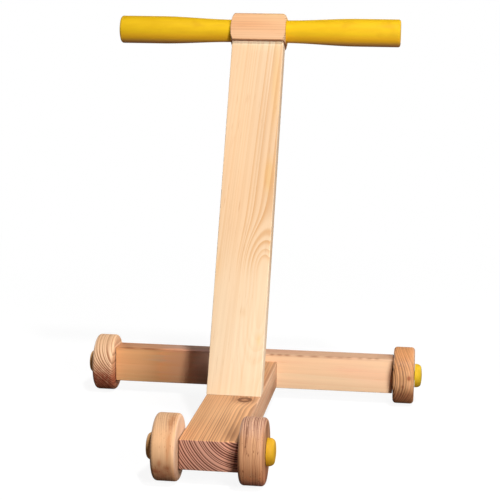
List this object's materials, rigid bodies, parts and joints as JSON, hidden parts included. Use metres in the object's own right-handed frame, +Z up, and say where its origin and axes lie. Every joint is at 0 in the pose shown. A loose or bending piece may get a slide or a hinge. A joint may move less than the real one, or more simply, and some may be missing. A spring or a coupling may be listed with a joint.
{
  "type": "baby push walker",
  "caption": "Wooden push walker: a T-shaped pine chassis on free-rolling wooden wheels, with a leaning post and a turned handlebar with yellow grips.",
  "frame": {"origin": "on the floor, midway between the two axle lines and between the left and right wheels", "axes": "+Z up, -Y towards the nose with the close-set wheels, +Y towards the wide crossbar, +X to the right as seen from the nose"},
  "size_m": [0.4492, 0.4398, 0.5084],
  "materials": {
    "post_pine": "pale planed pine, satin oil",
    "crossbar_pine": "pink-tan planed pine, satin oil",
    "spine_pine": "orange-tan pine with strong grain, satin oil",
    "wheel_wood": "brown-tan turned pine, oiled and worn",
    "yellow_paint": "warm yellow satin paint on turned wood",
    "dowel_wood": "bare beech dowel"
  },
  "bodies": {
    "chassis": {"base_spine": "spine_pine", "rear_crossbar": "crossbar_pine", "upright_post": "post_pine", "handlebar": "yellow_paint", "hub_cap_front_left": "yellow_paint", "hub_cap_front_right": "yellow_paint", "hub_cap_rear_left": "yellow_paint", "hub_cap_rear_right": "yellow_paint", "front_axle": "dowel_wood", "rear_axle_left": "dowel_wood", "rear_axle_right": "dowel_wood", "post_dowel_left": "dowel_wood", "post_dowel_right": "dowel_wood", "crossbar_dowel_left": "dowel_wood", "crossbar_dowel_right": "dowel_wood", "handle_dowel_left": "dowel_wood", "handle_dowel_right": "dowel_wood"},
    "front_left_wheel": {"wheel_front_left": "wheel_wood"},
    "front_right_wheel": {"wheel_front_right": "wheel_wood"},
    "rear_left_wheel": {"wheel_rear_left": "wheel_wood"},
    "rear_right_wheel": {"wheel_rear_right": "wheel_wood"}
  },
  "joints": [
    {"name": "front_left_wheel_spin", "type": "hinge", "parent": "chassis", "child": "front_left_wheel", "pos_m": [-0.04755, -0.18265, 0.03725], "axis": [1, 0, 0], "continuous": true},
    {"name": "front_right_wheel_spin", "type": "hinge", "parent": "chassis", "child": "front_right_wheel", "pos_m": [0.04755, -0.18265, 0.03725], "axis": [1, 0, 0], "continuous": true},
    {"name": "rear_left_wheel_spin", "type": "hinge", "parent": "chassis", "child": "rear_left_wheel", "pos_m": [-0.20075, 0.18265, 0.03725], "axis": [1, 0, 0], "continuous": true},
    {"name": "rear_right_wheel_spin", "type": "hinge", "parent": "chassis", "child": "rear_right_wheel", "pos_m": [0.20075, 0.18265, 0.03725], "axis": [1, 0, 0], "continuous": true}
  ]
}
